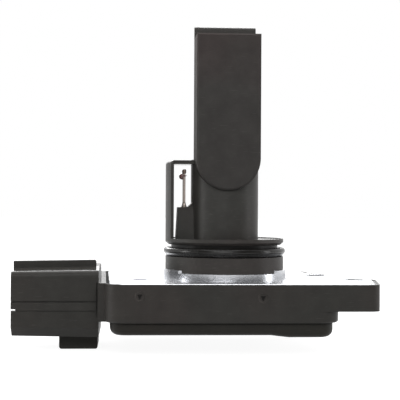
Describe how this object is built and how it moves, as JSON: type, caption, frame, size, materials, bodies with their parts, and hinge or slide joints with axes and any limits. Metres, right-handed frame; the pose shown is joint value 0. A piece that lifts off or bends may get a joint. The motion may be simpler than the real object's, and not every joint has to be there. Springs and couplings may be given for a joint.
{
  "type": "mass airflow sensor",
  "caption": "Plug-in hot-wire airflow sensor: slotted bypass probe with sealing collar on a metal plate, flat plastic body with connector and screw ears.",
  "frame": {"origin": "on the collar's axis, in the plane of the base plate's top face, which seats on the duct", "axes": "+Z along the probe into the duct, -X towards the connector's mouth, Y along the airflow with the duct cover on the -Y side"},
  "size_m": [0.0828, 0.048, 0.0758],
  "materials": {
    "black_plastic": "satin moulded thermoplastic, glass filled",
    "plate_metal": "bright pressed sheet, satin",
    "sealant": "cured silicone bead, satin",
    "seal_rubber": "smooth rubber, satin",
    "bead_glass": "glazed bead",
    "lead_metal": "tinned, satin",
    "element_ceramic": "glazed ceramic",
    "board": "solder mask over glass laminate",
    "package": "moulded chip package",
    "capacitor": "fired ceramic",
    "bushing_steel": "plated, satin",
    "terminal_brass": "tin plated"
  },
  "bodies": {
    "root": {"housing": "black_plastic", "lid": "black_plastic", "probe_body": "black_plastic", "duct_cover": "black_plastic", "base_plate": "plate_metal", "plate_seal": "sealant", "lid_seal": "sealant", "o_ring": "seal_rubber", "temperature_bead": "bead_glass", "temperature_post_near": "lead_metal", "temperature_post_far": "lead_metal", "hot_element": "element_ceramic", "cold_element": "element_ceramic", "circuit_board": "board", "control_chip": "package", "heater_transistor": "package", "chip_capacitors": "capacitor", "bridge_resistors": "package", "ear_bushing_near": "bushing_steel", "ear_bushing_far": "bushing_steel", "support_pin_1": "lead_metal", "support_pin_2": "lead_metal", "support_pin_3": "lead_metal", "support_pin_4": "lead_metal", "terminal_1": "terminal_brass", "terminal_2": "terminal_brass", "terminal_3": "terminal_brass", "terminal_4": "terminal_brass", "terminal_5": "terminal_brass"}
  },
  "joints": []
}
